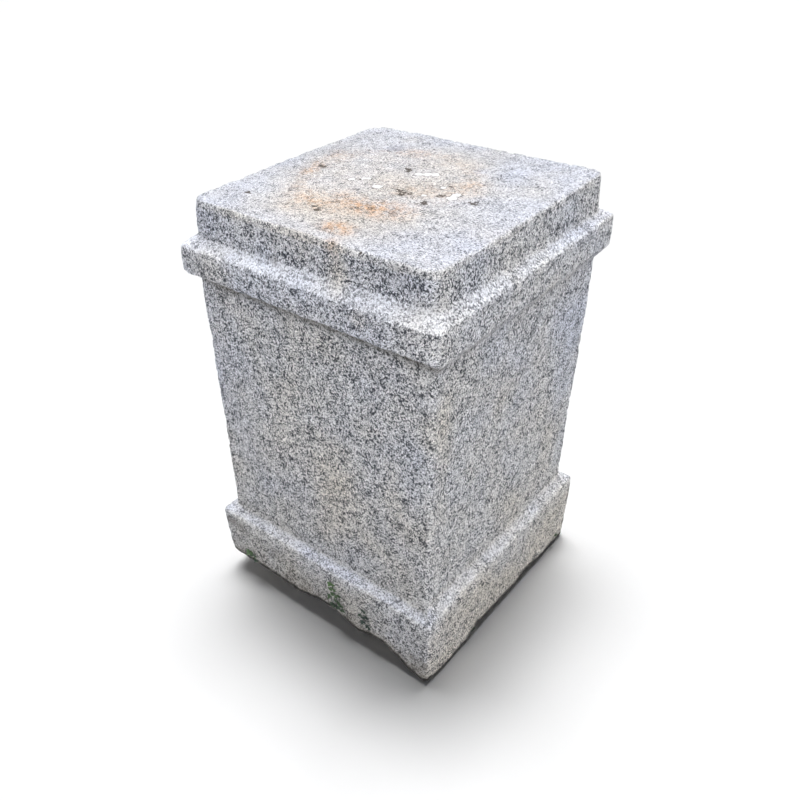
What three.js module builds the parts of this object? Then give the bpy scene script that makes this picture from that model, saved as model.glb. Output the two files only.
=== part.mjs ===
import * as THREE from 'three';

// A granite plinth carved from one block: square cap, raised band, plain shaft and splayed base.
// Millimetres, +Z up. It stands on z = 0, centred on the Z axis. The front looks to -Y, the right to +X.

// Half widths, from the axis to the faces
const CAP_HALF = 238;
const NECK_HALF = 241;
const BAND_HALF = 260;
const SHAFT_HALF = 240;
const BASE_HALF = 263;

// Heights of the lines cut round the block. The lines on the front and left faces were set out
// a little apart from those on the right and back faces.
const TOTAL_HEIGHT = 814;
const NECK = { front: 758, right: 757 };
const BAND_TOP = { front: 737, right: 742 };
const BAND_FOOT = { front: 693, right: 693 };
const SHAFT_HEAD = { front: 680, right: 665 };
const SHAFT_FOOT = { front: 175, right: 184 };
const BASE_TOP = { front: 162, right: 166 };

// The neck line rises towards the near and back corners and sinks towards the other two
const NECK_SWAY = 4.5;

// Plan radii of the corners, worn unevenly: near, right, back, left
const CAP_CORNERS = [21, 20, 36, 20];
const BAND_CORNERS = [17, 13, 13, 10];
const SHAFT_CORNERS = [5, 6, 8, 6];
const BASE_CORNERS = [5, 7, 10, 8];
const FOOT_CORNERS = [7, 9, 15, 22];

// How far each worn arris or hollow is softened along the profile
const CAP_SOFTENING = 4;
const BAND_SOFTENING = 3;
const HOLLOW_SOFTENING = 2;
const BASE_SOFTENING = 3;
const FOOT_SOFTENING = 9;

// The faces were dressed by hand and are out of true by about this much, in slow waves: how far each
// wave stretches along x, y and z, where it starts and its share of the whole
const DRESSING_SWAY = 1.3;
const DRESSING_WAVES = [
  { stretch: [71, Infinity, 133], start: 0.6, share: 0.4 },
  { stretch: [Infinity, 64, -117], start: 2.1, share: 0.4 },
  { stretch: [43, -43, 59], start: 4.4, share: 0.35 },
];

// The lower edge is broken: its height above the ground at the four corners, the stretch of each face
// over which it passes from one corner's height to the next one's, and the hollows and lobes in between
const EDGE_HEIGHT = { near: 7, right: 2, back: 7, left: 50 };
const EDGE_FACES = [
  {
    from: EDGE_HEIGHT.left,
    to: EDGE_HEIGHT.near,
    fall: [150, 250],
    breaks: [
      { at: -68, reach: 40, rise: -6 },
      { at: 14, reach: 50, rise: 10 },
      { at: 97, reach: 42, rise: -13 },
    ],
  },
  {
    from: EDGE_HEIGHT.near,
    to: EDGE_HEIGHT.right,
    fall: [-260, -225],
    breaks: [
      { at: -92, reach: 46, rise: 23 },
      { at: -15, reach: 78, rise: 15 },
      { at: 105, reach: 88, rise: 14 },
    ],
  },
  {
    from: EDGE_HEIGHT.right,
    to: EDGE_HEIGHT.back,
    fall: [-120, 120],
    breaks: [{ at: -60, reach: 90, rise: 9 }],
  },
  {
    from: EDGE_HEIGHT.back,
    to: EDGE_HEIGHT.left,
    fall: [-80, 200],
    breaks: [{ at: -90, reach: 80, rise: 8 }],
  },
];
const UNDERCUT_REACH = 95;
const UNDERCUT_MIDDLE = 45;
const UNDERCUT_MIDDLE_SHARE = 0.6;

// The softening of a corner takes at most this share of a side of the profile
const SOFTENED_SHARE = 0.45;

// Points this close to the top or the underside lie in it
const FLAT_WITHIN = 0.01;

// Mesh fineness
const STEPS_PER_FACE = 16;
const STEPS_PER_CORNER = 4;
const SHAFT_RINGS = 5;

const GRANITE = new THREE.MeshStandardMaterial({ color: 0xb4b3b2, roughness: 0.88, metalness: 0 });

// The four faces in order round the block, with the corner that follows each
const FACES = [
  { out: [0, -1], along: [1, 0], level: 'front' },
  { out: [1, 0], along: [0, 1], level: 'right' },
  { out: [0, 1], along: [-1, 0], level: 'right' },
  { out: [-1, 0], along: [0, -1], level: 'front' },
];

const mix = (a, b, t) => a + (b - a) * t;

// Places round one ring: along each face, then round the corner after it
function ringSpots() {
  const spots = [];
  FACES.forEach((_, face) => {
    for (let i = 0; i <= STEPS_PER_FACE; i += 1) spots.push({ face, along: i / STEPS_PER_FACE });
    for (let i = 1; i < STEPS_PER_CORNER; i += 1) spots.push({ face, turn: i / STEPS_PER_CORNER });
  });
  return spots;
}

// Distance along a face from its middle, for a spot on the flat of that face
function alongFace(spot, half, radii) {
  const before = half - radii[(spot.face + 3) % 4];
  const after = half - radii[spot.face];
  return mix(-before, after, spot.along);
}

// Plan position of a spot on a square ring with rounded corners
function planPoint(spot, half, radii) {
  const { out, along } = FACES[spot.face];
  if (spot.turn === undefined) {
    const s = alongFace(spot, half, radii);
    return [0, 1].map((k) => out[k] * half + along[k] * s);
  }
  const radius = radii[spot.face];
  const angle = spot.turn * Math.PI * 0.5;
  const reachOut = half - radius + radius * Math.cos(angle);
  const reachAlong = half - radius + radius * Math.sin(angle);
  return [0, 1].map((k) => out[k] * reachOut + along[k] * reachAlong);
}

// Height of one of the cut lines at a spot
function levelAt(spot, level) {
  const here = level[FACES[spot.face].level];
  const next = level[FACES[(spot.face + 1) % 4].level];
  return mix(here, next, spot.turn ?? 0);
}

// Height of the broken lower edge on one face
function faceEdge(face, s) {
  const { from, to, fall, breaks } = EDGE_FACES[face];
  const height = mix(from, to, THREE.MathUtils.smoothstep(s, fall[0], fall[1]));
  return breaks.reduce((sum, { at, reach, rise }) => {
    const near = Math.max(0, 1 - ((s - at) / reach) ** 2);
    return sum + rise * near * near;
  }, height);
}

function edgeAt(spot) {
  if (spot.turn === undefined) return faceEdge(spot.face, alongFace(spot, BASE_HALF, FOOT_CORNERS));
  const end = faceEdge(spot.face, BASE_HALF);
  const start = faceEdge((spot.face + 1) % 4, -BASE_HALF);
  return mix(end, start, spot.turn);
}

// Slow unevenness of the dressed faces
function dressing(point) {
  const place = point.toArray();
  return DRESSING_WAVES.reduce((sum, { stretch, start, share }) => {
    const phase = place.reduce((turn, value, axis) => turn + value / stretch[axis], start);
    return sum + DRESSING_SWAY * share * Math.sin(phase);
  }, 0);
}

function swayAt(spot) {
  const [x, y] = planPoint(spot, 1, [0, 0, 0, 0]);
  const angle = Math.atan2(y, x);
  return NECK_SWAY * Math.cos(2 * (angle + Math.PI / 4));
}

// A corner of the profile: its half width, its height at a spot, its plan radii and its softening
const profile = [
  { half: CAP_HALF, height: () => TOTAL_HEIGHT, radii: CAP_CORNERS, soften: CAP_SOFTENING },
  {
    half: NECK_HALF,
    height: (spot) => levelAt(spot, NECK) + swayAt(spot),
    radii: CAP_CORNERS,
    soften: HOLLOW_SOFTENING,
  },
  {
    half: BAND_HALF,
    height: (spot) => levelAt(spot, BAND_TOP),
    radii: BAND_CORNERS,
    soften: BAND_SOFTENING,
  },
  {
    half: BAND_HALF,
    height: (spot) => levelAt(spot, BAND_FOOT),
    radii: BAND_CORNERS,
    soften: BAND_SOFTENING,
  },
  {
    half: SHAFT_HALF,
    height: (spot) => levelAt(spot, SHAFT_HEAD),
    radii: SHAFT_CORNERS,
    soften: HOLLOW_SOFTENING,
    ringsBelow: SHAFT_RINGS,
  },
  {
    half: SHAFT_HALF,
    height: (spot) => levelAt(spot, SHAFT_FOOT),
    radii: SHAFT_CORNERS,
    soften: HOLLOW_SOFTENING,
  },
  {
    half: BASE_HALF,
    height: (spot) => levelAt(spot, BASE_TOP),
    radii: BASE_CORNERS,
    soften: BASE_SOFTENING,
    ringsBelow: 1,
  },
  { half: BASE_HALF, height: edgeAt, radii: FOOT_CORNERS, soften: FOOT_SOFTENING },
  {
    half: BASE_HALF - UNDERCUT_MIDDLE,
    height: (spot) => edgeAt(spot) * UNDERCUT_MIDDLE_SHARE,
    radii: FOOT_CORNERS,
    soften: 0,
  },
  { half: BASE_HALF - UNDERCUT_REACH, height: () => 0, radii: FOOT_CORNERS, soften: 0 },
];
const topCentre = { half: 0, height: () => TOTAL_HEIGHT, radii: CAP_CORNERS };
const undersideCentre = { half: 0, height: () => 0, radii: FOOT_CORNERS };

// One profile corner at one spot, as a point in space
function cornerPoint(corner, spot) {
  const [x, y] = planPoint(spot, corner.half, corner.half === 0 ? [0, 0, 0, 0] : corner.radii);
  return new THREE.Vector3(x, y, corner.height(spot));
}

// A ring of points from a function of the spot
const ring = (spots, place) => spots.map((spot) => place(spot));

// Rings down the outside, each profile corner drawn as a short curve where it is softened
function sideRings(spots) {
  const rings = [];
  profile.forEach((corner, index) => {
    const before = profile[index - 1] ?? topCentre;
    const after = profile[index + 1] ?? undersideCentre;
    const at = (spot) => cornerPoint(corner, spot);
    const towards = (spot, other) => {
      const start = at(spot);
      const way = cornerPoint(other, spot).sub(start);
      const step = Math.min(corner.soften, way.length() * SOFTENED_SHARE);
      return start.add(way.setLength(step));
    };
    if (corner.soften > 0) {
      const head = (spot) => towards(spot, before);
      const tail = (spot) => towards(spot, after);
      const bow = (spot) => {
        const ends = head(spot).add(tail(spot)).multiplyScalar(0.25);
        return ends.addScaledVector(at(spot), 0.5);
      };
      rings.push(ring(spots, head), ring(spots, bow), ring(spots, tail));
    } else {
      rings.push(ring(spots, at));
    }
    const between = corner.ringsBelow ?? 0;
    for (let i = 1; i <= between; i += 1) {
      const share = i / (between + 1);
      rings.push(ring(spots, (spot) => at(spot).lerp(cornerPoint(after, spot), share)));
    }
  });
  return rings;
}

// The dressed unevenness moves a side point in or out, and leaves the flat top and underside flat
function unevenness(point) {
  const onSide = point.z > FLAT_WITHIN && point.z < TOTAL_HEIGHT - FLAT_WITHIN;
  if (!onSide) return point;
  const scale = 1 + dressing(point) / Math.max(Math.abs(point.x), Math.abs(point.y));
  return new THREE.Vector3(point.x * scale, point.y * scale, point.z);
}

// Keeps the widest points on the stated half width, so that the block is centred at its stated size
function fitToBase(rings) {
  const points = rings.flat();
  ['x', 'y'].forEach((axis) => {
    const low = Math.min(...points.map((point) => point[axis]));
    const high = Math.max(...points.map((point) => point[axis]));
    points.forEach((point) => {
      point[axis] = ((point[axis] - low) / (high - low) - 0.5) * 2 * BASE_HALF;
    });
  });
  return rings;
}

// Closed mesh from the rings, with a fan over the top and one over the underside
function loft(rings) {
  const count = rings[0].length;
  const positions = rings.flat().flatMap((point) => point.toArray());
  const topIndex = rings.length * count;
  const undersideIndex = topIndex + 1;
  positions.push(0, 0, TOTAL_HEIGHT, 0, 0, 0);
  const triangles = [];
  for (let i = 0; i < count; i += 1) {
    const next = (i + 1) % count;
    triangles.push(topIndex, i, next);
    for (let r = 0; r + 1 < rings.length; r += 1) {
      const upper = r * count;
      const lower = upper + count;
      triangles.push(upper + i, lower + i, lower + next);
      triangles.push(upper + i, lower + next, upper + next);
    }
    const last = (rings.length - 1) * count;
    triangles.push(last + next, last + i, undersideIndex);
  }
  const geometry = new THREE.BufferGeometry();
  geometry.setAttribute('position', new THREE.Float32BufferAttribute(positions, 3));
  geometry.setIndex(triangles);
  geometry.computeVertexNormals();
  return geometry;
}

function granitePlinth() {
  const rings = sideRings(ringSpots()).map((points) => points.map(unevenness));
  const mesh = new THREE.Mesh(loft(fitToBase(rings)), GRANITE);
  mesh.name = 'granite_plinth';
  return mesh;
}

const plinth = new THREE.Group();
plinth.add(granitePlinth());

export default plinth;
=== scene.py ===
import math
from itertools import product

import bmesh
import bpy
import numpy as np
from mathutils import Matrix, Vector
from mathutils.bvhtree import BVHTree


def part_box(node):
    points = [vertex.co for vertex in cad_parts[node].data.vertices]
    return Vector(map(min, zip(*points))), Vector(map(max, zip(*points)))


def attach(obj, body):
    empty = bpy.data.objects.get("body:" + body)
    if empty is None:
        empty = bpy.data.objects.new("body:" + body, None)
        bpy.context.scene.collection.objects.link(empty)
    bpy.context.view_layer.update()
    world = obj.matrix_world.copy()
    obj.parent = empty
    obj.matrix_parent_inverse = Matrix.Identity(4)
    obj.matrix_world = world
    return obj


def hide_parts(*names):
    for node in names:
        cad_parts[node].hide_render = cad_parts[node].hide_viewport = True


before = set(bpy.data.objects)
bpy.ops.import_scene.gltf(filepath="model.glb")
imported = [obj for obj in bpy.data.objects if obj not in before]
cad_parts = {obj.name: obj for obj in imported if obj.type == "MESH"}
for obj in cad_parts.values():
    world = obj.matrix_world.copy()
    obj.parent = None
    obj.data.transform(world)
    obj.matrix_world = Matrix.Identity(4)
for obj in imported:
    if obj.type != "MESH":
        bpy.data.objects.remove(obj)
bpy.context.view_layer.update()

NODE = "granite_plinth"
BODY = "root"
MM = 0.001

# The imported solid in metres: its half width, its top and the head of the shaft under the band
HALF, _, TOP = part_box(NODE)[1]
SHAFT_HEAD = TOP - 140 * MM

# The same solid in millimetres, for places on the stone: its top and the half widths of its members
CROWN = round(TOP / MM)
BASE = round(HALF / MM)
BAND = BASE - 3
SHAFT = BASE - 23
CAP = BASE - 25

# Fineness of the dressed surface
VOXEL = 2.7 * MM
WELD = 0.01 * MM
MOST_TRIANGLES = 190_000

# The camera stands where the photograph was taken: metres, degrees, and millimetres for lens and sensor
CAMERA_PLACE = (0.7583, -1.0038, 1.2500)
CAMERA_AZIMUTH = 40.95
CAMERA_ELEVATION = 38.20
CAMERA_ROLL = -2.224
CAMERA_LENS = 35.395
CAMERA_SHIFT = (0.0525, 0.0718)
SENSOR_WIDTH = 36.0


# Noise and masks

# Noise is given by the size of its features, a seed and, at times, a number of layers
NOISE_TABLE = 256
NOISE_GAIN = 1.6

# A turn is the share of a normal along an axis where a mask begins, and the share where it is full
FRONT_TURN = (0.3, 0.9)


def gradient_noise(points, size, seed):
    """Smooth noise from about -1 to 1, with features of the given size."""
    rng = np.random.default_rng(seed)
    table = rng.permutation(NOISE_TABLE)
    slopes = rng.normal(size=(NOISE_TABLE, 3))
    slopes /= np.linalg.norm(slopes, axis=1, keepdims=True)
    place = points / size
    cell = np.floor(place).astype(int)
    part = place - cell
    ease = part ** 3 * (part * (part * 6 - 15) + 10)
    total = np.zeros(len(points))
    for corner in product((0, 1), repeat=3):
        key = np.zeros(len(points), int)
        for axis in range(3):
            key = table[(key + cell[:, axis] + corner[axis]) % NOISE_TABLE]
        weight = np.prod(np.where(corner, ease, 1 - ease), axis=1)
        total += weight * np.einsum("ij,ij->i", slopes[key], part - corner)
    return total * NOISE_GAIN


def fractal_noise(points, size, seed, octaves=3):
    """Noise with finer noise added, each layer half the size and strength of the last."""
    layers = [gradient_noise(points, size / 2 ** k, seed + k) / 2 ** k for k in range(octaves)]
    return sum(layers)


def patches(points, mean, swing, size, seed):
    """Uneven strength: a mean with noise of the given swing, with features of a size in millimetres."""
    return mean + swing * fractal_noise(points, size * MM, seed)


def smooth_step(value, start, end):
    """Nought before the start, one after the end, smooth between."""
    t = np.clip((value - start) / (end - start), 0, 1)
    return t * t * (3 - 2 * t)


def soft_spot(points, centre, reach):
    """One at the centre, falling smoothly to nothing at the reach."""
    away = np.linalg.norm((points - np.array(centre)) / np.array(reach), axis=1)
    return 1 - smooth_step(away, 0, 1)


def spots_sum(points, spots):
    """Soft spots added up: each a place and a reach in millimetres, and a strength."""
    total = np.zeros(len(points))
    for centre, reach, strength in spots:
        total += strength * soft_spot(points, np.array(centre) * MM, np.array(reach) * MM)
    return total


def below(points, low, high):
    """One under the lower of two levels in millimetres, nought over the higher."""
    return 1 - smooth_step(points[:, 2], low * MM, high * MM)


def near_top(points, deep, shallow):
    """One near the top, nought under the deeper of two depths in millimetres."""
    return smooth_step(points[:, 2], TOP - deep * MM, TOP - shallow * MM)


def frontness(facing):
    """One on the faces that look forward."""
    return smooth_step(-facing[:, 1], *FRONT_TURN)


def raised(mask, least, more):
    """The least all over, and as much more where the mask is one."""
    return least + more * mask


# The stone's surface as arrays

class Skin:
    """The vertices of a mesh, with its edges for spreading values over the surface."""

    def __init__(self, mesh):
        count = len(mesh.vertices)
        self.mesh = mesh
        self.points = np.empty(count * 3)
        mesh.vertices.foreach_get("co", self.points)
        self.points = self.points.reshape(-1, 3)
        pairs = np.empty(len(mesh.edges) * 2, int)
        mesh.edges.foreach_get("vertices", pairs)
        self.pairs = pairs.reshape(-1, 2)
        self.degree = np.bincount(pairs, minlength=count)

    def relaxed(self, values, rounds):
        """Values averaged with their neighbours, again and again."""
        a, b = self.pairs.T
        count = len(self.points)
        values = np.array(values, float).reshape(count, -1)
        for _ in range(rounds):
            spread = np.stack(
                [
                    np.bincount(a, column[b], count) + np.bincount(b, column[a], count)
                    for column in values.T
                ],
                axis=1,
            )
            values = 0.5 * values + 0.5 * spread / self.degree[:, None]
        return values.squeeze()

    def normals(self):
        flat = np.empty(len(self.points) * 3, np.float32)
        self.mesh.vertex_normals.foreach_get("vector", flat)
        return flat.reshape(-1, 3).astype(float)

    def store(self):
        self.mesh.vertices.foreach_set("co", self.points.ravel())
        self.mesh.update()

    def paint(self, name, values):
        layer = self.mesh.attributes.new(name, "FLOAT", "POINT")
        layer.data.foreach_set("value", np.clip(values, 0, 1).astype(np.float32))


def add_object(name, data):
    made = bpy.data.objects.new(name, data)
    bpy.context.scene.collection.objects.link(made)
    return made


def settle(piece):
    """Turns a piece's modifiers into plain mesh."""
    graph = bpy.context.evaluated_depsgraph_get()
    piece_mesh = bpy.data.meshes.new_from_object(piece.evaluated_get(graph))
    piece.modifiers.clear()
    piece.data = piece_mesh
    piece.data.name = piece.name


def fine_copy(node, name):
    """A finely and evenly meshed copy of a solid."""
    mesh = node.data.copy()
    shape = bmesh.new()
    shape.from_mesh(mesh)
    bmesh.ops.remove_doubles(shape, verts=shape.verts, dist=WELD)
    shape.to_mesh(mesh)
    shape.free()
    piece = add_object(name, mesh)
    remesh = piece.modifiers.new("remesh", "REMESH")
    remesh.mode = "VOXEL"
    remesh.voxel_size = VOXEL
    settle(piece)
    piece.data.materials.clear()
    return piece


def thin_out(piece):
    """Meshes the flat places more coarsely and keeps the arrises fine."""
    piece.data.calc_loop_triangles()
    thin = piece.modifiers.new("thin", "DECIMATE")
    thin.ratio = MOST_TRIANGLES / len(piece.data.loop_triangles)
    thin.use_collapse_triangulate = True
    settle(piece)
    piece.data.shade_smooth()


# Bites out of the arrises: a place in millimetres, the way it faces, the radius of the bite and its depth

FRONT_TOP = (0, -0.7, 0.7)
RIGHT_TOP = (0.7, 0, 0.7)
FRONT_LOW = (0, -0.7, -0.7)
NEAR_CORNER = (0.7, -0.7, 0)
LEFT_CORNER = (-0.7, -0.7, 0)
BITES = [
    ((108, -CAP, CROWN), FRONT_TOP, 26, 3.5),
    ((62, -CAP, CROWN), FRONT_TOP, 22, 2.5),
    ((-95, -CAP, CROWN), FRONT_TOP, 24, 2.5),
    ((CAP, -60, CROWN), RIGHT_TOP, 24, 2.5),
    ((CAP, 20, CROWN), RIGHT_TOP, 20, 2.0),
    ((176, -BAND, 739), FRONT_TOP, 16, 3.5),
    ((30, -BAND, 738), FRONT_TOP, 22, 2.0),
    ((-120, -BAND, 693), FRONT_LOW, 20, 2.5),
    ((95, -BAND, 693), FRONT_LOW, 18, 2.5),
    ((BAND, -60, 741), RIGHT_TOP, 22, 2.0),
    ((256, -256, 735), NEAR_CORNER, 22, 2.5),
    ((256, -256, 705), NEAR_CORNER, 20, 2.0),
    ((-256, -258, 62), LEFT_CORNER, 30, 4.0),
]
BITE_ROUGHNESS = 0.12
BITE_NOISE = (14 * MM, 41)


def bite(points, centre, outward, radius, depth):
    """Scoops a ball-shaped hollow out of an arris."""
    outward = np.array(outward) / np.linalg.norm(outward)
    ball = np.array(centre) * MM + outward * (radius - depth) * MM
    away = points - ball
    distance = np.linalg.norm(away, axis=1)
    reach = radius * MM * (1 + BITE_ROUGHNESS * gradient_noise(points, *BITE_NOISE))
    inside = distance < reach
    points[inside] = ball + away[inside] / distance[inside, None] * reach[inside, None]


# Hand dressing: the height of each layer of relief, the size of its features and a seed
TOOLING = [(0.8 * MM, 150 * MM, 3), (0.55 * MM, 34 * MM, 5), (0.55 * MM, 13 * MM, 7)]

# Rougher work near the ground: full under the first level in millimetres, none over the second
HEWN_HEIGHT = 1.0 * MM
HEWN_NOISE = (20 * MM, 19, 2)
HEWN_LEVELS = (70, 125)

# Worn arrises, with depths in millimetres
ARRIS_ROUNDS = 100
ARRIS_FULL = 3.0 * MM
ARRIS_SWELL = 0.8
ARRIS_WAVE = 1.2
ARRIS_NOISE = (70 * MM, 11)
CHIP_DEPTH = 3.6
CHIP_FROM = 0.22
CHIP_NOISE = (24 * MM, 13, 2)
NICK_DEPTH = 3.4
NICK_FROM = 0.1
NICK_NOISE = (8 * MM, 17)

# The face that the stone stands on stays flat
BEDDING_TURN = (0.6, 0.9)
BEDDING_LEVEL = 3 * MM

# Pits in the top: place, width and depth in millimetres
TOP_PITS = [
    ((16, -24), 11, 2.4),
    ((27, -33), 12, 2.8),
    ((38, -26), 8, 1.6),
    ((-33, 66), 11, 2.4),
    ((-26, 57), 9, 2.2),
    ((82, -8), 9, 2.4),
    ((78, -45), 11, 2.4),
    ((70, -52), 7, 1.6),
    ((-161, -5), 11, 2.4),
    ((-37, -158), 10, 2.2),
    ((-50, -150), 7, 1.6),
    ((-66, -20), 7, 1.6),
    ((-52, -12), 5, 1.2),
    ((6, -118), 7, 1.6),
    ((72, 36), 6, 1.4),
    ((-178, -166), 9, 1.6),
    ((142, -6), 12, 1.2),
]
PIT_REACH = 0.8
TOP_SKIN = 3 * MM

# A small crater in the front of the cap: place, reach and depth in millimetres
CRATER = (-58, -241, 760)
CRATER_REACH = (11, 14, 9)
CRATER_DEPTH = 3.5


def dressing(points, arris):
    """How far hand tools and wear have left the surface out from the plain form."""
    rise = np.zeros(len(points))
    for height, size, seed in TOOLING:
        rise += height * gradient_noise(points, size, seed)
    rise += below(points, *HEWN_LEVELS) * HEWN_HEIGHT * fractal_noise(points, *HEWN_NOISE)
    chips = np.clip(fractal_noise(points, *CHIP_NOISE) - CHIP_FROM, 0, 1)
    waves = ARRIS_SWELL + ARRIS_WAVE * gradient_noise(points, *ARRIS_NOISE)
    rise += arris * MM * (waves - CHIP_DEPTH * chips)
    nicks = np.clip(gradient_noise(points, *NICK_NOISE) - NICK_FROM, 0, 1)
    return rise - arris * NICK_DEPTH * MM * nicks


def weather(skin, facing):
    """Hand dressing, bites and pits, as real relief. Gives where the arrises and the hollows are."""
    points = skin.points
    start = points.copy()
    bulge = np.einsum("ij,ij->i", start - skin.relaxed(start, ARRIS_ROUNDS), facing)
    arris = np.clip(bulge / ARRIS_FULL, 0, 1)
    hollow = np.clip(-bulge / ARRIS_FULL, 0, 1)
    bedding = smooth_step(-facing[:, 2], *BEDDING_TURN) * (start[:, 2] < BEDDING_LEVEL)
    points += facing * (dressing(start, arris) * (1 - bedding))[:, None]

    for centre, outward, radius, depth in BITES:
        bite(points, centre, outward, radius, depth)
    on_top = start[:, 2] > TOP - TOP_SKIN
    for (x, y), width, depth in TOP_PITS:
        pit = soft_spot(start, (x * MM, y * MM, TOP), np.full(3, PIT_REACH * width * MM))
        points[:, 2] -= pit * depth * MM * on_top
    dent = soft_spot(start, np.array(CRATER) * MM, np.array(CRATER_REACH) * MM)
    points -= facing * (dent * CRATER_DEPTH * MM)[:, None]
    points[:, 2] = np.clip(points[:, 2], 0, None)
    return arris, hollow


# Stains: place and reach in millimetres, and strength. Patches: mean, swing, size in millimetres and seed

RUST_CENTRE = (-28, 4)
RUST_RADIUS = 146
RUST_WIDTH = 24
RUST_SPOTS = [
    ((28, -192, CROWN), (42, 32, 40), 1.2),
    ((48, -207, CROWN), (36, 22, 40), 0.35),
    ((60, -236, 806), (20, 26, 40), 0.4),
    ((44, -102, CROWN), (80, 56, 40), 0.7),
    ((-10, -108, CROWN), (70, 50, 40), 0.35),
    ((74, 4, CROWN), (60, 50, 40), 0.22),
    ((-70, -146, CROWN), (90, 70, 40), 0.28),
    ((-40, -90, CROWN), (50, 36, 40), 0.25),
    ((-163, -34, CROWN), (17, 46, 40), 0.6),
    ((-174, 2, CROWN), (18, 22, 40), 0.55),
    ((-184, 58, CROWN), (28, 36, 40), 0.32),
    ((-68, 138, CROWN), (42, 36, 40), 0.35),
    ((92, 52, CROWN), (36, 50, 40), 0.35),
    ((24, -16, CROWN), (70, 56, 40), 0.22),
]
RING_GAPS = [
    ((118, -60, CROWN), (130, 130, 130), 0.85),
    ((20, 150, CROWN), (80, 60, 60), 0.4),
    ((110, 110, CROWN), (70, 70, 70), 0.5),
    ((-130, 90, CROWN), (50, 50, 50), 0.5),
]
RING_STRENGTH = 0.24
DISC_STRENGTH = 0.10
DISC_FADE = 20
RUST_DRIFT = 8 * MM
RUST_DRIFT_NOISES = [(40 * MM, 51), (40 * MM, 57)]
RUST_PATCHES = (0.85, 0.5, 24, 61)
RUST_DEPTHS = (30, 4)


def rust_on_top(points):
    """The ring left by a rusty foot, with stronger spots along it."""
    at = points.copy()
    drift = np.stack([fractal_noise(points, *noise) for noise in RUST_DRIFT_NOISES], axis=1)
    at[:, :2] += RUST_DRIFT * drift
    away = np.hypot(*(at[:, :2] / MM - RUST_CENTRE).T)
    ring = RING_STRENGTH * np.exp(-(((away - RUST_RADIUS) / RUST_WIDTH) ** 2))
    ring *= np.clip(1 - spots_sum(at, RING_GAPS), 0, 1)
    disc = 1 - smooth_step(away, RUST_RADIUS - DISC_FADE, RUST_RADIUS + DISC_FADE)
    stain = ring + DISC_STRENGTH * disc
    stain += spots_sum(at, RUST_SPOTS)
    return stain * patches(points, *RUST_PATCHES) * near_top(points, *RUST_DEPTHS)


# Dark spots of dirt and marks; the spot at the near corner just under the band is painted shade with dirt
GRIME_AND_SHADE_SPOTS = [
    ((-226, -BASE, 138), (52, 20, 30), 0.8),
    ((-150, -BASE, 122), (60, 20, 24), 0.35),
    ((-112, -BASE, 119), (40, 20, 30), 0.45),
    ((-60, -BASE, 70), (100, 20, 30), 0.35),
    ((60, -BASE, 66), (60, 20, 30), 0.3),
    ((235, -BASE, 40), (70, 20, 60), 0.35),
    ((249, -240, 676), (30, 30, 30), 0.8),
    ((-58, -243, 759), (15, 20, 10), 0.9),
    ((180, -CAP, 796), (60, 20, 26), 0.35),
    ((236, -236, 764), (50, 50, 14), 0.35),
    ((24, -28, CROWN), (40, 30, 20), 0.25),
    ((50, -12, CROWN), (70, 50, 20), 0.12),
    ((-28, 62, CROWN), (30, 26, 20), 0.25),
    ((-115, 139, CROWN), (24, 20, 20), 0.5),
    ((69, -184, CROWN), (16, 12, 20), 0.5),
    ((72, 120, CROWN), (16, 14, 20), 0.4),
    ((-215, 40, CROWN), (90, 230, 30), 0.22),
    ((20, 200, CROWN), (230, 90, 30), 0.20),
    ((60, -160, CROWN), (170, 90, 30), 0.14),
]
SPOT_PATCHES = (0.85, 0.6, 22, 73)

# Dirt and painted shadow under the band, and dirt and painted shade near the ground: how much all round,
# and how much more on the front
UNDER_BAND = (0.3, 0.9)
UNDER_BAND_RISE = 3 * MM
UNDER_BAND_SPREAD = 6 * MM
UNDER_BAND_PATCHES = (0.85, 0.6, 60, 71)
LOW_DIRT_AND_SHADE = (0.06, 0.15)
LOW_DIRT_AND_SHADE_LEVELS = (30, 165)
LOW_DIRT_AND_SHADE_PATCHES = (1, 0.8, 70, 79)

# Dirt in pocks and splashed up the front; darker in the hollows and at the lip of the broken edge
POCK_DIRT = 0.9
POCK_NOISE = (16 * MM, 75, 2)
HOLLOW_DARKENING = 0.3
HOLLOW_DEPTH = 90 * MM
LIP_DARKENING = 0.2
SPLASH_DIRT = 0.18
SPLASH_LEVELS = (160, 480)


def grime_and_shade(points, facing, hollow, lip):
    """Dark dirt and painted shade: darker in the hollows, dirt and a painted shadow line under the band,
    dirt and painted shade in the low corners.
    """
    front = frontness(facing)
    # A dark line of dirt and painted shadow just under the band, stronger on the front
    under = np.exp(-(((points[:, 2] - SHAFT_HEAD - UNDER_BAND_RISE) / UNDER_BAND_SPREAD) ** 2))
    dirt_and_shade = under * raised(front, *UNDER_BAND) * patches(points, *UNDER_BAND_PATCHES)
    # Darker in the hollows below the top
    dirt_and_shade += HOLLOW_DARKENING * hollow * (points[:, 2] < TOP - HOLLOW_DEPTH)
    dirt_and_shade += spots_sum(points, GRIME_AND_SHADE_SPOTS) * patches(points, *SPOT_PATCHES)
    # Dirt and painted shade near the ground, more on the front
    low = below(points, *LOW_DIRT_AND_SHADE_LEVELS)
    dirt_and_shade += low * raised(front, *LOW_DIRT_AND_SHADE) * patches(points, *LOW_DIRT_AND_SHADE_PATCHES)
    pocks = np.clip(fractal_noise(points, *POCK_NOISE), 0, 1)
    dirt_and_shade += POCK_DIRT * pocks * low * front
    # Darker at the lip of the broken edge; dirt splashed up the front
    return dirt_and_shade + LIP_DARKENING * lip + SPLASH_DIRT * below(points, *SPLASH_LEVELS) * front


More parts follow.
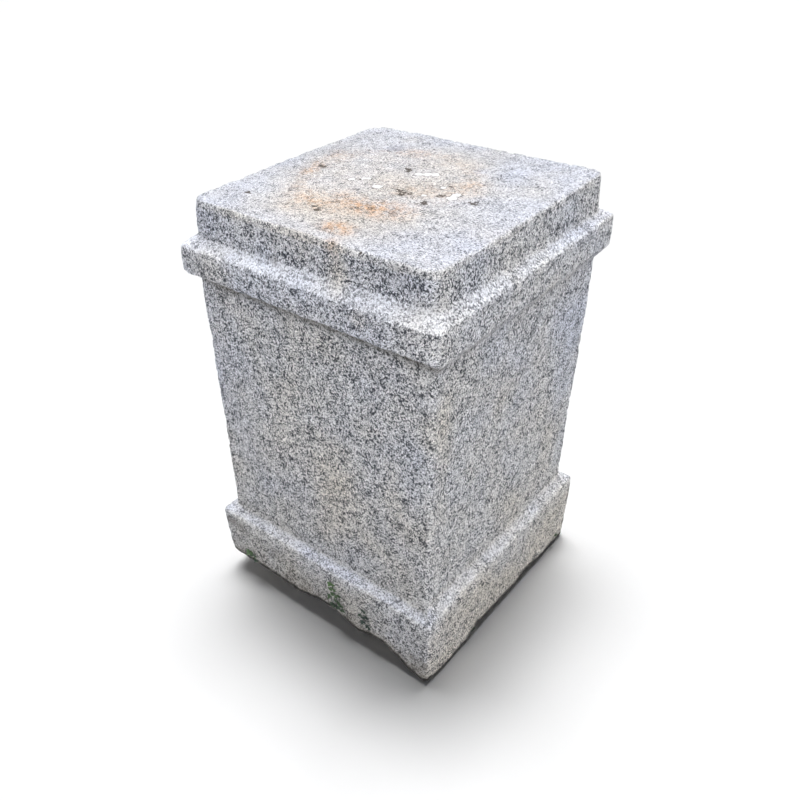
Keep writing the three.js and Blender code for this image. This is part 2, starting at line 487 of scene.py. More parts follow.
WARM_SPOTS = [
    ((BASE, -240, 30), (40, 60, 50), 0.6),
    ((35, -SHAFT, 265), (90, 40, 130), 0.6),
    ((-20, -SHAFT, 380), (150, 40, 110), 0.25),
    ((-10, -CAP, 790), (130, 30, 60), 0.45),
    ((121, -262, 722), (26, 20, 26), 0.8),
    ((72, -CAP, 775), (30, 40, 60), 0.8),
    ((SHAFT, -208, 550), (30, 34, 150), 0.55),
    ((SHAFT, 30, 230), (40, 220, 90), 0.45),
    ((-200, -BASE, 70), (60, 30, 40), 0.5),
    ((-30, 10, CROWN), (170, 170, 30), 0.2),
    ((20, -170, CROWN), (190, 110, 30), 1.1),
]
WARM_PATCHES = (0.18, 0.45, 110, 83)
WARM_LOW = (0.2, 0.8)
WARM_LEVELS = (60, 200)
WARM_TURN = (0.4, 0.9)
WARM_LIP = 0.5


def warmth(points, facing, lip):
    """Where the stone is browner: near the ground, most on the right, and in patches."""
    right = smooth_step(facing[:, 0], *WARM_TURN)
    near_ground = below(points, *WARM_LEVELS) * raised(right, *WARM_LOW)
    broad = patches(points, *WARM_PATCHES)
    return spots_sum(points, WARM_SPOTS) + near_ground + broad + WARM_LIP * lip


COOL_SPOTS = [
    ((-235, -SHAFT, 540), (150, 50, 260), 0.8),
    ((-240, -240, 780), (120, 40, 90), 0.5),
    ((205, -SHAFT, 500), (50, 30, 200), 0.35),
    ((190, -CAP, 796), (70, 30, 40), 0.6),
    ((SHAFT, 215, 560), (50, 150, 190), 0.8),
    ((-115, 139, CROWN), (30, 26, 20), 0.8),
    ((69, -184, CROWN), (22, 18, 20), 0.8),
    ((72, 120, CROWN), (22, 20, 20), 0.8),
    ((190, -BASE, 90), (90, 40, 80), 0.6),
]
COOL_PATCHES = (0.15, 0.45, 100, 91)
COOL_RIM = 0.6
RIM_RADII = (130, 220)
RIM_TURN = (0.6, 0.95)
COOL_UPPER = (0.15, 0.3)
UPPER_LEVELS = (640 * MM, 710 * MM)
UPPER_DEPTH = 12 * MM


def coolness(points, facing):
    """Where the stone is bluer: towards the far ends of the faces and on the rim of the top."""
    away = np.hypot(*(points[:, :2] / MM - RUST_CENTRE).T)
    rim = smooth_step(away, *RIM_RADII) * smooth_step(facing[:, 2], *RIM_TURN)
    upper = smooth_step(points[:, 2], *UPPER_LEVELS) * (points[:, 2] < TOP - UPPER_DEPTH)
    blue = spots_sum(points, COOL_SPOTS) + COOL_RIM * rim
    return blue + upper * raised(frontness(facing), *COOL_UPPER) + patches(points, *COOL_PATCHES)


# How much the slopes are paled by weathering and brightened with painted light, how much less low down and
# on the right, and how much the arrises are, by wear and painted highlight
SLOPE_PALED_AND_LIT = 0.40
LESS_PALED_AND_LIT_LOW = 0.15
LESS_PALED_AND_LIT_RIGHT = 0.13
ARRIS_PALED_AND_LIT = 0.04
SLOPE_TURN = (0.30, 0.55)
SLOPE_DEPTH = 25 * MM
LOW_SLOPE_LEVELS = (300, 500)
RIGHT_SLOPE_TURN = (0.3, 0.6)
ARRIS_LEVEL = 100 * MM


def bleaching_and_light(points, facing, arris):
    """Where rain and sun have paled the slopes, with painted light over them, and the arrises a little, by
    wear and painted highlight.
    """
    upward = smooth_step(facing[:, 2], *SLOPE_TURN) * (points[:, 2] < TOP - SLOPE_DEPTH)
    low = below(points, *LOW_SLOPE_LEVELS)
    right = smooth_step(facing[:, 0], *RIGHT_SLOPE_TURN) * (1 - low)
    paled = upward * (SLOPE_PALED_AND_LIT - LESS_PALED_AND_LIT_LOW * low - LESS_PALED_AND_LIT_RIGHT * right)
    return paled + ARRIS_PALED_AND_LIT * arris * (points[:, 2] > ARRIS_LEVEL)


DUST_TURN = (0.35, 0.75)
DUST_DEPTHS = (25, 8)


def dusting(points, facing):
    """Where dust and lichen have greyed the stone: all over the top."""
    return smooth_step(facing[:, 2], *DUST_TURN) * near_top(points, *DUST_DEPTHS)


# Black earth and painted shadow: a band round the undersides at the broken edge, and the lowest millimetres
# of stone, are painted nearly black
SOIL_SHADOW_ROUNDS = 12
SOIL_SHADOW_STARTS = (0.05, 0.18)
SOIL_SHADOW_ENDS = (0.65, 0.9)
SOIL_SHADOW_LEVELS = (2, 8)


def soil_and_shadow_line(skin, turned):
    """Black earth and painted shadow along the broken edge and along the ground."""
    near = skin.relaxed(turned, SOIL_SHADOW_ROUNDS)
    edge = smooth_step(near, *SOIL_SHADOW_STARTS) * (1 - smooth_step(near, *SOIL_SHADOW_ENDS))
    return np.maximum(edge, below(skin.points, *SOIL_SHADOW_LEVELS))


# The undercut of the lower edge, and the lip of stone over it
UNDERCUT_TURN = (0.05, 0.5)
UNDERCUT_LEVEL = 90 * MM
LIP_ROUNDS = 56
LIP_GAIN = 2.5
FACING_ROUNDS = 4


def make_stone():
    """The dressed, weathered and painted stone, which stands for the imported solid."""
    stone = fine_copy(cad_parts[NODE], "granite_plinth_stone")
    skin = Skin(stone.data)
    facing = skin.normals()
    arris, hollow = weather(skin, facing)
    skin.store()
    points = skin.points
    turned = smooth_step(-facing[:, 2], *UNDERCUT_TURN) * (points[:, 2] < UNDERCUT_LEVEL)
    lip = np.clip(LIP_GAIN * skin.relaxed(turned, LIP_ROUNDS), 0, 1)
    broad_facing = skin.relaxed(facing, FACING_ROUNDS)
    # Slopes paled by weathering and brightened with painted light; arrises a little, by wear and painted
    # highlight
    skin.paint("bleach_and_light", bleaching_and_light(points, facing, arris))
    skin.paint("dust", dusting(points, facing))
    # Black earth and painted shadow along the broken edge and the ground
    skin.paint("soil_and_shadow", soil_and_shadow_line(skin, turned))
    skin.paint("rust", rust_on_top(points))
    # Dirt with painted shade: under the band, in the hollows, at the lip and low down
    skin.paint("grime_and_shade", grime_and_shade(points, broad_facing, hollow, lip))
    skin.paint("warm", warmth(points, broad_facing, lip))
    skin.paint("cool", coolness(points, broad_facing))
    thin_out(stone)
    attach(stone, BODY)
    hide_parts(NODE)
    return stone


# Weeds rooted in the lower edge

FRONT = {"out": (0, -1, 0), "along": (1, 0, 0)}
RIGHT = {"out": (1, 0, 0), "along": (0, 1, 0)}

# The points of each stem along its face and up, the length of its leaves, in millimetres, and how fresh
# they are from the root to the tip
WEEDS = [
    (FRONT, [(48, 62), (46, 78), (51, 96), (47, 112), (44, 127), (43, 142)], 11.0, (0.1, 1.0)),
    (FRONT, [(58, 66), (64, 78), (62, 92)], 8.0, (0.2, 0.5)),
    (FRONT, [(42, 64), (38, 80), (36, 103)], 8.0, (0.0, 0.5)),
    (FRONT, [(52, 64), (56, 92), (59, 118)], 7.0, (0.1, 0.7)),
    (FRONT, [(131, 54), (126, 74), (124, 100), (119, 118)], 9.0, (0.0, 0.15)),
    (FRONT, [(121, 60), (115, 82), (112, 100)], 8.0, (0.0, 0.15)),
    (FRONT, [(-182, 64), (-184, 72), (-189, 82)], 11.0, (0.3, 0.8)),
    (FRONT, [(-172, 60), (-175, 68)], 8.0, (0.1, 0.3)),
    (FRONT, [(-194, 68), (-197, 76)], 7.0, (0.3, 0.5)),
    (RIGHT, [(-116, 20), (-117, 33)], 8.0, (0.1, 0.3)),
    (RIGHT, [(214, 14), (215, 32)], 9.0, (0.2, 0.5)),
]
WEED_SEED = 17

# Stems: sizes in millimetres, and the share of the radius lost towards the tip
STEM_SIDES = 5
STEM_RADIUS = 0.7
STEM_TAPER = 0.5
STEM_LIFT = 7.0
ROOT_DEPTH = 1.5

# A leaf's form: the steps along it, and shares of its length, or of its half width for the fold
LEAF_STEPS = 6
LEAF_HALF_WIDTH = 0.36
LEAF_BLUNTNESS = 0.04
LEAF_SWELL = 0.8
LEAF_RISE = 0.25
LEAF_DROOP = 0.35
LEAF_FOLD = 0.35

# How leaves vary: length, slant upwards, lean outwards and tilt of the blade
LEAF_LENGTHS = (0.75, 1.1)
LEAF_SLANTS = (-0.2, 0.7)
LEAF_LEANS = (0.15, 0.6)
LEAF_TILTS = (0.3, 0.9)
TIP_LENGTH = 0.8
TIP_LEAN = 0.5


def square_to(way, direction):
    """The direction turned to be square to the way."""
    return (direction - way * direction.dot(way)).normalized()


class WeedMesh:
    """Gathers stems and leaves into one mesh."""

    def __init__(self):
        self.verts = []
        self.faces = []
        self.fresh = []

    def sheet(self, rows, fresh):
        """A grid of points, as a strip of quads."""
        first = len(self.verts)
        width = len(rows[0])
        for row in rows:
            self.verts.extend(row)
            self.fresh.extend([fresh] * width)
        for r in range(len(rows) - 1):
            for c in range(width - 1):
                corner = first + r * width + c
                self.faces.append((corner, corner + 1, corner + width + 1, corner + width))

    def stem(self, path, fresh):
        rings = []
        for k, point in enumerate(path):
            way = (path[min(k + 1, len(path) - 1)] - path[max(k - 1, 0)]).normalized()
            side = way.orthogonal().normalized()
            across = way.cross(side)
            radius = STEM_RADIUS * (1 - STEM_TAPER * k / len(path)) * MM
            turns = [2 * math.pi * i / STEM_SIDES for i in range(STEM_SIDES + 1)]
            rings.append([point + (side * math.cos(t) + across * math.sin(t)) * radius for t in turns])
        self.sheet(rings, fresh)

    def leaf(self, base, way, up, length, fresh):
        """An ovate leaf, folded a little along its rib and drooping at its tip."""
        side = way.cross(up).normalized()
        rows = []
        for k in range(LEAF_STEPS + 1):
            t = k / LEAF_STEPS
            swell = min(1.0, LEAF_BLUNTNESS + t ** LEAF_SWELL * (1 - LEAF_BLUNTNESS))
            half_width = LEAF_HALF_WIDTH * length * math.sin(math.pi * swell) * MM
            height = length * MM * (LEAF_RISE * t - LEAF_DROOP * t * t)
            rib = base + way * (length * t * MM) + up * height
            edge = up * (LEAF_FOLD * half_width)
            rows.append([rib - side * half_width + edge, rib, rib + side * half_width + edge])
        self.sheet(rows, fresh)

    def mesh(self):
        made = bpy.data.meshes.new("weeds")
        made.from_pydata([tuple(v) for v in self.verts], [], self.faces)
        made.shade_smooth()
        made.attributes.new("fresh", "FLOAT", "POINT").data.foreach_set("value", self.fresh)
        return made


def climb(surface, out, along, knots):
    """A stem's points: rooted in the stone, then further and further out from it."""
    path = []
    for k, (s, z) in enumerate(knots):
        flat = along * (s * MM) + Vector((0, 0, z * MM))
        hit = surface.ray_cast(flat + out * (2 * HALF), -out)[0]
        foot = hit if hit is not None else flat + out * HALF
        lift = -ROOT_DEPTH if k == 0 else STEM_LIFT * k / len(knots)
        path.append(foot + out * (lift * MM))
    return path


def make_weeds(stone):
    """Stems and leaves that follow the stone's surface, in one mesh."""
    mesh = stone.data
    mesh.calc_loop_triangles()
    corners = [tuple(v.co) for v in mesh.vertices]
    surface = BVHTree.FromPolygons(corners, [tuple(t.vertices) for t in mesh.loop_triangles])
    rng = np.random.default_rng(WEED_SEED)
    weeds = WeedMesh()
    for face, knots, size, (old, young) in WEEDS:
        out = Vector(face["out"])
        along = Vector(face["along"])
        path = climb(surface, out, along, knots)
        weeds.stem(path, old)
        for k, knot in enumerate(path[1:], 1):
            fresh = old + (young - old) * k / len(path)
            for hand in (-1, 0, 1):
                length = size * rng.uniform(*LEAF_LENGTHS)
                slant = Vector((0, 0, rng.uniform(*LEAF_SLANTS)))
                way = (along * hand + slant + out * rng.uniform(*LEAF_LEANS)).normalized()
                up = (out + Vector((0, 0, rng.uniform(*LEAF_TILTS)))).normalized()
                weeds.leaf(knot, way, square_to(way, up), length, fresh)
        tip_way = (Vector((0, 0, 1)) + out * TIP_LEAN).normalized()
        weeds.leaf(path[-1], tip_way, square_to(tip_way, out), TIP_LENGTH * size, young)
    piece = add_object("weeds", weeds.mesh())
    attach(piece, BODY)
    return piece


# Materials

# The colour sockets of a mix node
MIX_FIRST = 6
MIX_SECOND = 7
MIX_RESULT = 2


def grey(value):
    return (value,) * 3


class Graph:
    """A material's node tree, with one call for each kind of node that is used here."""

    def __init__(self, name):
        self.material = bpy.data.materials.new(name)
        self.material.use_nodes = True
        self.tree = self.material.node_tree
        self.shader = self.tree.nodes["Principled BSDF"]

    def feed(self, socket, value):
        """Links a socket to another, or sets it to a value."""
        if isinstance(value, bpy.types.NodeSocket):
            self.tree.links.new(value, socket)
        elif isinstance(value, tuple) and len(value) == 3 and socket.type == "RGBA":
            socket.default_value = (*value, 1.0)
        else:
            socket.default_value = value

    def node(self, kind, inputs=None, **settings):
        made = self.tree.nodes.new(kind)
        for key, value in settings.items():
            setattr(made, key, value)
        for key, value in (inputs or {}).items():
            self.feed(made.inputs[key], value)
        return made

    def surface(self, inputs):
        """Feeds the shader's own sockets, and gives the finished material."""
        for key, value in inputs.items():
            self.feed(self.shader.inputs[key], value)
        return self.material

    def place(self):
        return self.node("ShaderNodeTexCoord").outputs["Object"]

    def vector(self, operation, a, b, output="Vector"):
        return self.node("ShaderNodeVectorMath", {0: a, 1: b}, operation=operation).outputs[output]

    def noise(self, vector, size, detail=3.0, roughness=0.55, output="Fac"):
        inputs = {"Vector": vector, "Scale": 1 / size, "Detail": detail, "Roughness": roughness}
        return self.node("ShaderNodeTexNoise", inputs).outputs[output]

    def cells(self, vector, size):
        return self.node("ShaderNodeTexVoronoi", {"Vector": vector, "Scale": 1 / size})

    def math(self, operation, a, b, c=0.0, clamp=False):
        inputs = {0: a, 1: b, 2: c}
        return self.node("ShaderNodeMath", inputs, operation=operation, use_clamp=clamp).outputs[0]

    def times(self, a, b, clamp=False):
        return self.math("MULTIPLY", a, b, clamp=clamp)

    def scaled(self, value, by, plus):
        return self.math("MULTIPLY_ADD", value, by, plus)

    def span(self, value, start, end):
        """Nought below the start, one above the end, smooth between."""
        inputs = {"Value": value, "From Min": start, "From Max": end}
        made = self.node("ShaderNodeMapRange", inputs, interpolation_type="SMOOTHSTEP")
        return made.outputs["Result"]

    def mix(self, factor, a, b, blend="MIX"):
        made = self.node("ShaderNodeMix", data_type="RGBA", blend_type=blend)
        self.feed(made.inputs["Factor"], factor)
        self.feed(made.inputs[MIX_FIRST], a)
        self.feed(made.inputs[MIX_SECOND], b)
        return made.outputs[MIX_RESULT]

    def painted(self, name):
        return self.node("ShaderNodeAttribute", attribute_name=name).outputs["Fac"]

    def bands(self, value, stops, interpolation="LINEAR"):
        """Colours by value: each stop is a value and the colour there."""
        ramp = self.node("ShaderNodeValToRGB", {"Fac": value})
        ramp.color_ramp.interpolation = interpolation
        elements = ramp.color_ramp.elements
        while len(elements) < len(stops):
            elements.new(0.5)
        for element, (position, colour) in zip(elements, stops):
            element.position = position
            element.color = (*colour, 1.0)
        return ramp.outputs["Color"]

    def nearness(self, place, spots):
        """One at the middle of the nearest spot, nought at its rim. Places and radii in millimetres."""
        total = None
        for centre, radius in spots:
            middle = tuple(value * MM for value in centre)
            away = self.vector("DISTANCE", place, middle, "Value")
            near = self.scaled(away, -1 / (radius * MM), 1.0)
            total = near if total is None else self.math("MAXIMUM", total, near)
        return total

    def roughened(self, value, noise, strength):
        """The value with noise added that leaves its mean as it is."""
        return self.math("ADD", value, self.scaled(noise, strength, -0.5 * strength))


# Colours of the minerals, of what has settled on them, and of painted light and shade
BIOTITE = (0.036, 0.040, 0.050)
SMOKY = (0.115, 0.121, 0.135)
QUARTZ = (0.42, 0.428, 0.452)
FELDSPAR = (0.80, 0.80, 0.815)
PALE_FELDSPAR = (0.89, 0.887, 0.89)
# Pale colour of weathering, and of painted light, on the slopes and arrises
BLEACHED_AND_LIT = (0.80, 0.80, 0.812)
DUST = (0.475, 0.47, 0.475)
# Black earth and painted shadow at the broken edge and the ground
SOIL_AND_SHADE = (0.03, 0.028, 0.025)
RUST_TINT = (1.0, 0.66, 0.42)
# Colour of dirt, and of painted shade, in the grime
DIRT_AND_SHADE = (0.13, 0.115, 0.095)
WARM_TINT = (1.05, 0.99, 0.89)
COOL_TINT = (0.93, 0.968, 1.085)
# Dark of the marks, and of the painted shadow round the pale chips
MARK_AND_SHADOW_DARK = (0.06, 0.048, 0.04)
CHALK = (0.66, 0.66, 0.665)

# Noise in the stone: the size of its features, how many finer layers it has and how strong they are
WOBBLE = {"size": 6 * MM, "detail": 2.0}
CLOUD = {"size": 8 * MM, "detail": 4.0, "roughness": 0.72}
FINE = {"size": 1.8 * MM, "detail": 2.0}
RAGGED = {"size": 3 * MM}
CROWD = {"size": 20 * MM, "detail": 2.0}
FLECK = {"size": 3.6 * MM, "roughness": 0.7}
TOP_FLECK = {"size": 2.5 * MM, "roughness": 0.7}
CRYSTAL = {"size": 8.5 * MM, "roughness": 0.6}
SPECKLE = {"size": 8 * MM, "detail": 4.0}
BROKEN = {"size": 5 * MM, "roughness": 0.6}

# Grains: their size and form, the minerals that they are, and the fine tone over them
GRAIN = 1.75 * MM
GRAIN_STRETCH = (1.0, 1.0, 0.88)
GRAIN_PUSH = 4 * MM
MINERALS = [(0.0, SMOKY), (0.16, QUARTZ), (0.41, FELDSPAR), (0.70, PALE_FELDSPAR)]
MINERAL_CLOUDS = 1.2
FINE_TONES = [(0.24, grey(0.36)), (0.66, grey(1.12))]

# Dark flecks and crystals: where the noise turns dark, and how strong they are
FLECK_EDGE = (0.703, 0.735)
FLECK_CROWDING = 0.32
FLECK_LOSS_ON_TOP = -0.038
FLECK_STRENGTH = 0.97
FLECK_FADE_IN_DUST = -0.11
FLECK_FADE_IN_BLEACH_AND_LIGHT = -0.75
CRYSTAL_EDGE = (0.655, 0.690)
CRYSTAL_STRENGTH = 0.85

# How what lies on the stone is broken up by noise: a factor and what is added to it, or a span of the noise
DUST_RAGGED = (1.2, 0.4)
DUST_STRENGTH = 0.36
BLEACH_AND_LIGHT_RAGGED = (0.7, 0.65)
RUST_SPECKLES = (0.34, 0.60)
RUST_SPECKLED = (0.7, 0.3)
GRIME_AND_SHADE_GRAIN = (0.28, 0.60)
GRIME_AND_SHADE_STRENGTH = 0.8

# Dark marks, and pale chips with rims of painted shadow: how ragged they are, where they begin and how
# strong they are
MARK_RAGGED = 2.2
MARK_EDGE = (0.45, 0.62)
MARK_STRENGTH = 0.9
CHALK_RAGGED = 1.2
CHALK_EDGE = (0.12, 0.22)
CHALK_RIM_SHADOW = (-0.15, 0.10)
CHALK_RIM_SHADOW_STRENGTH = 0.6

# Gloss and the finest relief
STONE_ROUGHNESS = [(0.0, grey(0.78)), (1.0, grey(0.95))]
STONE_SPECULAR = 0.25
GRAIN_RELIEF = -0.6
FINE_RELIEF = 0.8
FLECK_RELIEF = 0.5
BUMP = {"Strength": 0.7, "Distance": 1.3 * MM}

# Pale chips on the top and the band: place and radius in millimetres
CHALK_SPOTS = [
    ((-4, 54, CROWN), 9),
    ((8, 62, CROWN), 10),
    ((19, 68, CROWN), 9),
    ((102, -6, CROWN), 11),
    ((100, 10, CROWN), 9),
    ((65, 25, CROWN), 6),
    ((-24, -31, CROWN), 10),
    ((-64, -14, CROWN), 6),
    ((-79, -28, CROWN), 7),
    ((-58, -10, CROWN), 6),
    ((60, -20, CROWN), 5),
    ((116, -240, 727), 8),
]

# Dark marks in the pits of the top, in a short row there, in the crater and on the arrises
PIT_MARK = 1.3
DARK_SPOTS = [((x, y, CROWN - 2), PIT_MARK * width) for (x, y), width, _ in TOP_PITS]
DARK_SPOTS += [
    ((24, -174, CROWN), 4),
    ((29, -165, CROWN), 4),
    ((34, -156, CROWN), 4),
    ((44, -150, CROWN), 4),
    ((54, -145, CROWN), 4),
    ((-58, -242, 759), 6),
    ((60, -236, 812), 5),
    ((112, -237, 811), 5),
    ((258, -246, 741), 5),
    ((250, 130, 746), 5),
]


def dark_flecks(g, place, warped, dust, bleach_and_light):
    """Where biotite shows: smaller flecks on the dusty top, fainter ones where the stone is bleached and
    brightened with painted light.
    """
    crowd = g.noise(place, **CROWD)
    fleck = g.noise(warped, **FLECK)
    top_fleck = g.noise(warped, **TOP_FLECK)
    fleck = g.scaled(dust, g.math("SUBTRACT", top_fleck, fleck), fleck)
    fleck = g.scaled(crowd, FLECK_CROWDING, fleck)
    fleck = g.scaled(dust, FLECK_LOSS_ON_TOP, fleck)
    strength = g.scaled(dust, FLECK_FADE_IN_DUST, FLECK_STRENGTH)
    strength = g.scaled(bleach_and_light, FLECK_FADE_IN_BLEACH_AND_LIGHT, strength)
    crystals = g.times(g.span(g.noise(warped, **CRYSTAL), *CRYSTAL_EDGE), CRYSTAL_STRENGTH)
    flecks = g.math("MAXIMUM", g.span(fleck, *FLECK_EDGE), crystals)
    return g.times(flecks, strength)


def stained(g, place, fine, stone):
    """The stone's colour with its cool and warm patches, rust, grime with painted shade, and earth with
    painted shadow.
    """
    stone = g.mix(g.painted("cool"), stone, COOL_TINT, "MULTIPLY")
    stone = g.mix(g.painted("warm"), stone, WARM_TINT, "MULTIPLY")
    speckle = g.span(g.noise(place, **SPECKLE), *RUST_SPECKLES)
    rust = g.times(g.painted("rust"), g.scaled(speckle, *RUST_SPECKLED), clamp=True)
    stone = g.mix(rust, stone, RUST_TINT, "MULTIPLY")
    # Dirt with painted shade: under the band, in the hollows, at the lip and low down
    dirt_and_shade = g.times(g.painted("grime_and_shade"), g.span(fine, *GRIME_AND_SHADE_GRAIN), clamp=True)
    stone = g.mix(g.times(dirt_and_shade, GRIME_AND_SHADE_STRENGTH), stone, DIRT_AND_SHADE)
    # Black earth and painted shadow along the broken edge and the ground
    return g.mix(g.painted("soil_and_shadow"), stone, SOIL_AND_SHADE)


def marked(g, place, stone):
    """The stone's colour with its dark marks, and its pale chips in rims of painted shadow."""
    broken = g.noise(place, **BROKEN)
    mark = g.span(g.roughened(g.nearness(place, DARK_SPOTS), broken, MARK_RAGGED), *MARK_EDGE)
    stone = g.mix(g.times(mark, MARK_STRENGTH), stone, MARK_AND_SHADOW_DARK)
    chip = g.roughened(g.nearness(place, CHALK_SPOTS), broken, CHALK_RAGGED)
    # A rim of painted shadow round each pale chip
    stone = g.mix(g.times(g.span(chip, *CHALK_RIM_SHADOW), CHALK_RIM_SHADOW_STRENGTH), stone, MARK_AND_SHADOW_DARK)
    return g.mix(g.span(chip, *CHALK_EDGE), stone, CHALK)


def granite():
    """Salt-and-pepper granite, with stains, marks, painted light and painted shade over its grain."""
    g = Graph("granite")
    place = g.place()
    stretched = g.vector("MULTIPLY", place, GRAIN_STRETCH)
    shift = g.vector("SUBTRACT", g.noise(place, **WOBBLE, output="Color"), (0.5,) * 3)
    warped = g.vector("ADD", stretched, g.vector("MULTIPLY", shift, (GRAIN_PUSH,) * 3))

    grain = g.cells(warped, GRAIN)
    draw = g.node("ShaderNodeSeparateColor", {0: grain.outputs["Color"]})
    fine = g.noise(place, **FINE)
    mineral = g.roughened(draw.outputs[0], g.noise(stretched, **CLOUD), MINERAL_CLOUDS)
    stone = g.bands(mineral, MINERALS, "CONSTANT")
    stone = g.mix(1.0, stone, g.bands(fine, FINE_TONES), "MULTIPLY")

    ragged = g.noise(place, **RAGGED)
    # Weathered paleness and painted light on the slopes and arrises
    bleach_and_light = g.times(g.painted("bleach_and_light"), g.scaled(ragged, *BLEACH_AND_LIGHT_RAGGED))
    dust = g.painted("dust")
    dusty = g.times(g.times(dust, g.scaled(ragged, *DUST_RAGGED)), DUST_STRENGTH)
    stone = g.mix(dusty, stone, DUST)
    # Slopes and arrises paled by weathering and painted light
    stone = g.mix(bleach_and_light, stone, BLEACHED_AND_LIT)
    dark = dark_flecks(g, place, warped, dust, bleach_and_light)
    stone = g.mix(dark, stone, BIOTITE)
    stone = stained(g, place, fine, stone)
    stone = marked(g, place, stone)

    grains = g.times(grain.outputs["Distance"], GRAIN_RELIEF)
    relief = g.math("ADD", grains, g.times(fine, FINE_RELIEF))
    relief = g.math("SUBTRACT", relief, g.times(dark, FLECK_RELIEF))
    bump = g.node("ShaderNodeBump", {"Height": relief, **BUMP})
    return g.surface(
        {
            "Base Color": stone,
            "Roughness": g.bands(draw.outputs[1], STONE_ROUGHNESS),
            "Specular IOR Level": STONE_SPECULAR,
            "Normal": bump.outputs["Normal"],
        }
    )


LEAF_DARK = (0.032, 0.048, 0.042)
LEAF_GREEN = (0.060, 0.100, 0.050)
LEAF_FRESH = (0.105, 0.175, 0.075)
LEAF_TONES = [(0.05, LEAF_DARK), (0.5, LEAF_GREEN), (0.95, LEAF_FRESH)]
LEAF_PATCH = {"size": 6 * MM, "detail": 2.0}
LEAF_PATCHINESS = 0.8
LEAF_ROUGHNESS = 0.6


def leaf_green():
    g = Graph("greenery")
    fresh = g.roughened(g.painted("fresh"), g.noise(g.place(), **LEAF_PATCH), LEAF_PATCHINESS)
    return g.surface({"Base Color": g.bands(fresh, LEAF_TONES), "Roughness": LEAF_ROUGHNESS})


# Floor, wall, light and camera, with sizes in metres

FLOOR_HALF = 30.0
FLOOR_PATCH = {"size": 0.8, "detail": 2.0}
FLOOR_TONES = [(0.3, grey(0.935)), (0.7, grey(0.95))]
FLOOR_ROUGHNESS = 0.95
FLOOR_SPECULAR = 0.1

WALL_RADIUS = 29.0
WALL_HEIGHT = 24.0
WALL_SIDES = 96
WALL_TONES = [(0.0, grey(0.90)), (0.7, (0.66, 0.665, 0.675))]

SKY_HORIZON = (0.34, 0.345, 0.355)
SKY_ZENITH = (0.065, 0.067, 0.072)
SKY_ZENITH_FROM = 0.30

# Each lamp: the way it lies from the stone, its tilt from upright, its spread in degrees and its strength
OVERHEAD = {"tilt": 14.5, "spread": 21.0, "strength": 1.66}
OVERHEAD_BACK = {"way": (-0.26, 0.966), **OVERHEAD}
OVERHEAD_LEFT = {"way": (-0.966, 0.26), **OVERHEAD}
FILL = {"way": (0.80, -0.60), "tilt": 39.0, "spread": 50.0, "strength": 2.74}


def floor_white():
    g = Graph("floor")
    tone = g.bands(g.noise(g.place(), **FLOOR_PATCH), FLOOR_TONES)
    return g.surface(
        {"Base Color": tone, "Roughness": FLOOR_ROUGHNESS, "Specular IOR Level": FLOOR_SPECULAR}
    )


def wall_pale():
    """A glow of its own, paler towards the floor."""
    g = Graph("wall")
    height = g.node("ShaderNodeSeparateXYZ", {0: g.place()}).outputs["Z"]
    glow = g.bands(g.times(height, 1 / WALL_HEIGHT), WALL_TONES)
    return g.surface({"Emission Color": glow, "Emission Strength": 1.0, "Base Color": grey(0.0)})


def make_floor():
    mesh = bpy.data.meshes.new("floor")
    half = FLOOR_HALF
    corners = [(-half, -half, 0), (half, -half, 0), (half, half, 0), (-half, half, 0)]
    mesh.from_pydata(corners, [], [(0, 1, 2, 3)])
    floor = add_object("floor", mesh)
    floor.data.materials.append(floor_white())


def make_wall():
    """A pale round wall far behind the stone, which is seen but gives no light and no shade."""
    mesh = bpy.data.meshes.new("wall")
    turns = [2 * math.pi * i / WALL_SIDES for i in range(WALL_SIDES)]
    ring = [(WALL_RADIUS * math.cos(t), WALL_RADIUS * math.sin(t)) for t in turns]
    verts = [(x, y, z) for z in (0.0, WALL_HEIGHT) for x, y in ring]
    pairs = [(i, (i + 1) % WALL_SIDES) for i in range(WALL_SIDES)]
    mesh.from_pydata(verts, [], [(a, b, b + WALL_SIDES, a + WALL_SIDES) for a, b in pairs])
    wall = add_object("wall", mesh)
    wall.data.materials.append(wall_pale())
    wall.visible_diffuse = False
    wall.visible_glossy = False
    wall.visible_transmission = False
    wall.visible_shadow = False


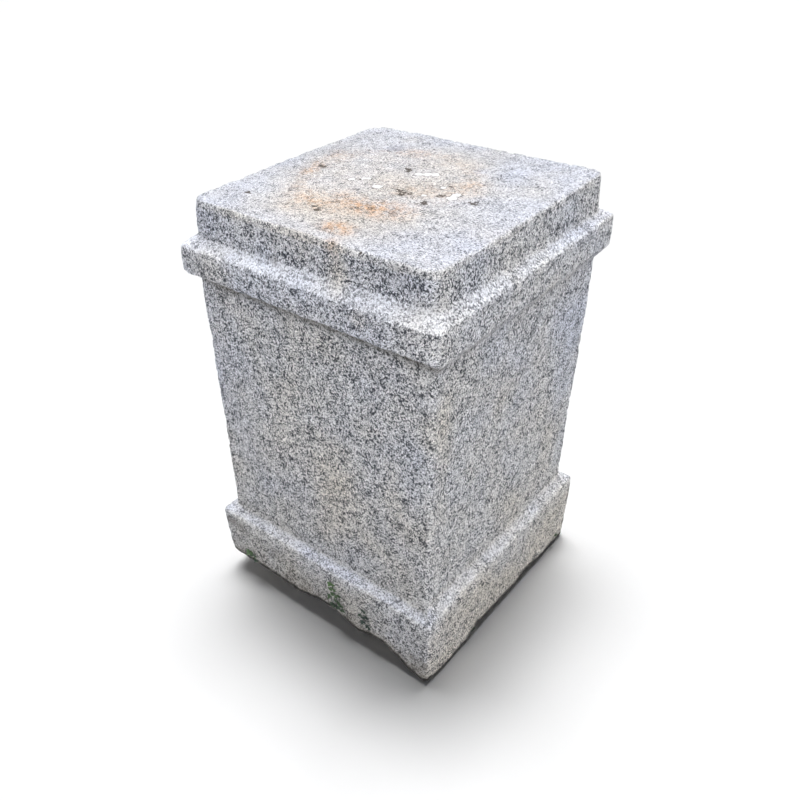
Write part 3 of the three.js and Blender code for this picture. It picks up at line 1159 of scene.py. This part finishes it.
def make_sky():
    """A pale room: brighter round the horizon than overhead."""
    world = bpy.data.worlds.new("soft sky")
    world.use_nodes = True
    tree = world.node_tree
    way = tree.nodes.new("ShaderNodeTexCoord").outputs["Generated"]
    split = tree.nodes.new("ShaderNodeSeparateXYZ")
    ramp = tree.nodes.new("ShaderNodeValToRGB")
    horizon, zenith = ramp.color_ramp.elements
    horizon.color = (*SKY_HORIZON, 1.0)
    zenith.color = (*SKY_ZENITH, 1.0)
    zenith.position = SKY_ZENITH_FROM
    tree.links.new(way, split.inputs[0])
    tree.links.new(split.outputs["Z"], ramp.inputs["Fac"])
    tree.links.new(ramp.outputs["Color"], tree.nodes["Background"].inputs["Color"])
    bpy.context.scene.world = world


def sun(name, settings):
    data = bpy.data.lights.new(name, "SUN")
    data.energy = settings["strength"]
    data.angle = math.radians(settings["spread"])
    light = add_object(name, data)
    tilt = math.radians(settings["tilt"])
    x, y = settings["way"]
    towards = Vector((x * math.sin(tilt), y * math.sin(tilt), math.cos(tilt)))
    light.rotation_euler = (-towards).to_track_quat("-Z", "Y").to_euler()
    return light


def make_light(pieces):
    """Two soft lamps overhead, and a fill that falls on the stone and not on the floor."""
    sun("overhead_back", OVERHEAD_BACK)
    sun("overhead_left", OVERHEAD_LEFT)
    fill = sun("fill", FILL)
    lit = bpy.data.collections.new("fill_lit")
    for piece in pieces:
        lit.objects.link(piece)
    fill.light_linking.receiver_collection = lit
    bpy.context.scene.view_settings.view_transform = "Standard"


def make_camera():
    """The camera, turned by its azimuth, elevation and roll."""
    azimuth = math.radians(CAMERA_AZIMUTH)
    elevation = math.radians(CAMERA_ELEVATION)
    back = Vector(
        (
            math.sin(azimuth) * math.cos(elevation),
            -math.cos(azimuth) * math.cos(elevation),
            math.sin(elevation),
        )
    )
    level = Vector((math.cos(azimuth), math.sin(azimuth), 0))
    turn = Matrix.Rotation(math.radians(CAMERA_ROLL), 3, back)
    right = turn @ level
    up = turn @ back.cross(level)
    data = bpy.data.cameras.new("camera")
    data.lens = CAMERA_LENS
    data.sensor_width = SENSOR_WIDTH
    data.shift_x, data.shift_y = CAMERA_SHIFT
    camera = add_object("camera", data)
    axes = Matrix((right, up, back)).transposed().to_4x4()
    camera.matrix_world = Matrix.Translation(CAMERA_PLACE) @ axes
    bpy.context.scene.camera = camera


make_camera()
make_sky()
make_floor()
make_wall()
stone = make_stone()
stone.data.materials.append(granite())
weeds = make_weeds(stone)
weeds.data.materials.append(leaf_green())
make_light([stone, weeds])
